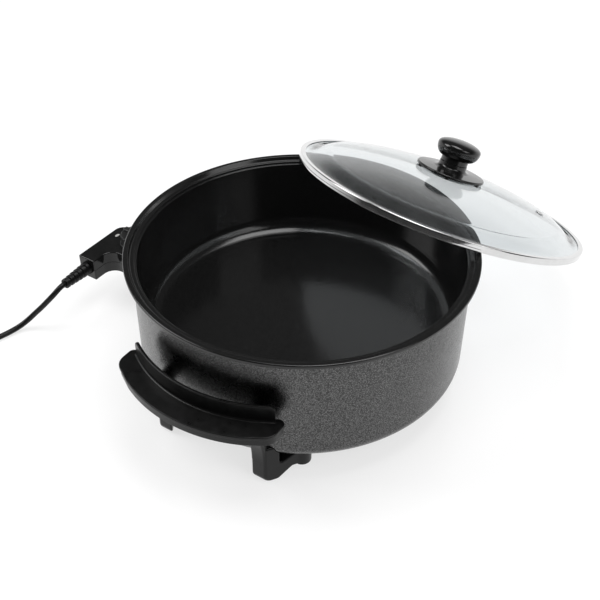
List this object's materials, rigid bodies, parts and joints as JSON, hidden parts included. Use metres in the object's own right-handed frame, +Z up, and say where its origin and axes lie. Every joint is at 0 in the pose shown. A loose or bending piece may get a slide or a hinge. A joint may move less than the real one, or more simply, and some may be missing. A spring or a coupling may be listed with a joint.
{
  "type": "electric skillet",
  "caption": "Deep round electric skillet on two handles with legs, with a loose domed glass lid tipped over its rim and a plug-in thermostat on a mains cord.",
  "frame": {"origin": "on the surface that the legs stand on, under the middle of the object's box without the cord", "axes": "+Z up; the front handle points to -Y and the rear one to +Y; the thermostat's socket opens to -X; the lid slopes down to the rear"},
  "size_m": [0.692, 0.7642, 0.218],
  "materials": {
    "nonstick": "black non-stick coating on cast aluminium",
    "hammered_paint": "dark grey hammered paint with a fine sparkle",
    "steel": "zinc-plated steel",
    "element_sheath": "grey heat-darkened sheath",
    "handle_plastic": "black satin phenolic plastic",
    "brass": "plain",
    "glass": "clear tempered glass with a faint green tint",
    "band_steel": "polished stainless steel",
    "clear_silicone": "translucent silicone",
    "grey_silicone": "pale grey silicone",
    "knob_plastic": "gloss black phenolic plastic",
    "housing_plastic": "gloss black plastic",
    "lens_plastic": "clear pilot lamp lens",
    "cord_rubber": "black flexible PVC",
    "nickel": "nickel-plated brass",
    "dial_plastic": "black satin plastic"
  },
  "bodies": {
    "pan": {"cooking_pan": "nonstick", "outer_casing": "hammered_paint", "tie_bolt": "steel", "heating_element": "element_sheath", "element_clip_1": "steel", "element_clip_2": "steel", "element_clip_3": "steel", "socket_shroud": "handle_plastic", "socket_screw_left": "steel", "socket_screw_right": "steel", "terminal_pin_left": "brass", "terminal_pin_right": "brass", "handle_front": "handle_plastic", "handle_rear": "handle_plastic", "handle_screw_front_left": "steel", "handle_screw_front_right": "steel", "handle_screw_rear_left": "steel", "handle_screw_rear_right": "steel", "handle_nut_front_left": "steel", "handle_nut_front_right": "steel", "handle_nut_rear_left": "steel", "handle_nut_rear_right": "steel"},
    "lid": {"lid_glass": "glass", "lid_band": "band_steel", "vent_grommet": "band_steel", "knob_gasket": "clear_silicone", "knob_base": "knob_plastic", "knob_head": "knob_plastic", "lid_washer": "grey_silicone", "knob_screw": "steel"},
    "thermostat": {"thermostat_lower_housing": "housing_plastic", "thermostat_upper_housing": "housing_plastic", "thermostat_screw_1": "steel", "thermostat_screw_2": "steel", "thermostat_screw_3": "steel", "contact_sleeve_left": "brass", "contact_sleeve_right": "brass", "cord_boot": "cord_rubber", "cord": "cord_rubber", "cord_coil": "cord_rubber", "cord_plug_lead": "cord_rubber", "plug_body": "cord_rubber", "plug_pin_left": "nickel", "plug_pin_right": "nickel", "plug_earth_clip_left": "nickel", "plug_earth_clip_right": "nickel", "probe_rod": "band_steel", "pilot_lens": "lens_plastic"},
    "dial": {"dial_knob": "dial_plastic", "dial_shaft": "steel"}
  },
  "joints": [
    {"name": "lid_lift", "type": "slide", "parent": "pan", "child": "lid", "axis": [0, 0, 1], "range_m": [0, 0.2]},
    {"name": "thermostat_pull", "type": "slide", "parent": "pan", "child": "thermostat", "axis": [-1, 0, 0], "range_m": [0, 0.07]},
    {"name": "dial_turn", "type": "hinge", "parent": "thermostat", "child": "dial", "pos_m": [-0.2335, -0.0803, 0.0735], "axis": [0, 0, -1], "range_deg": [0, 270]}
  ]
}
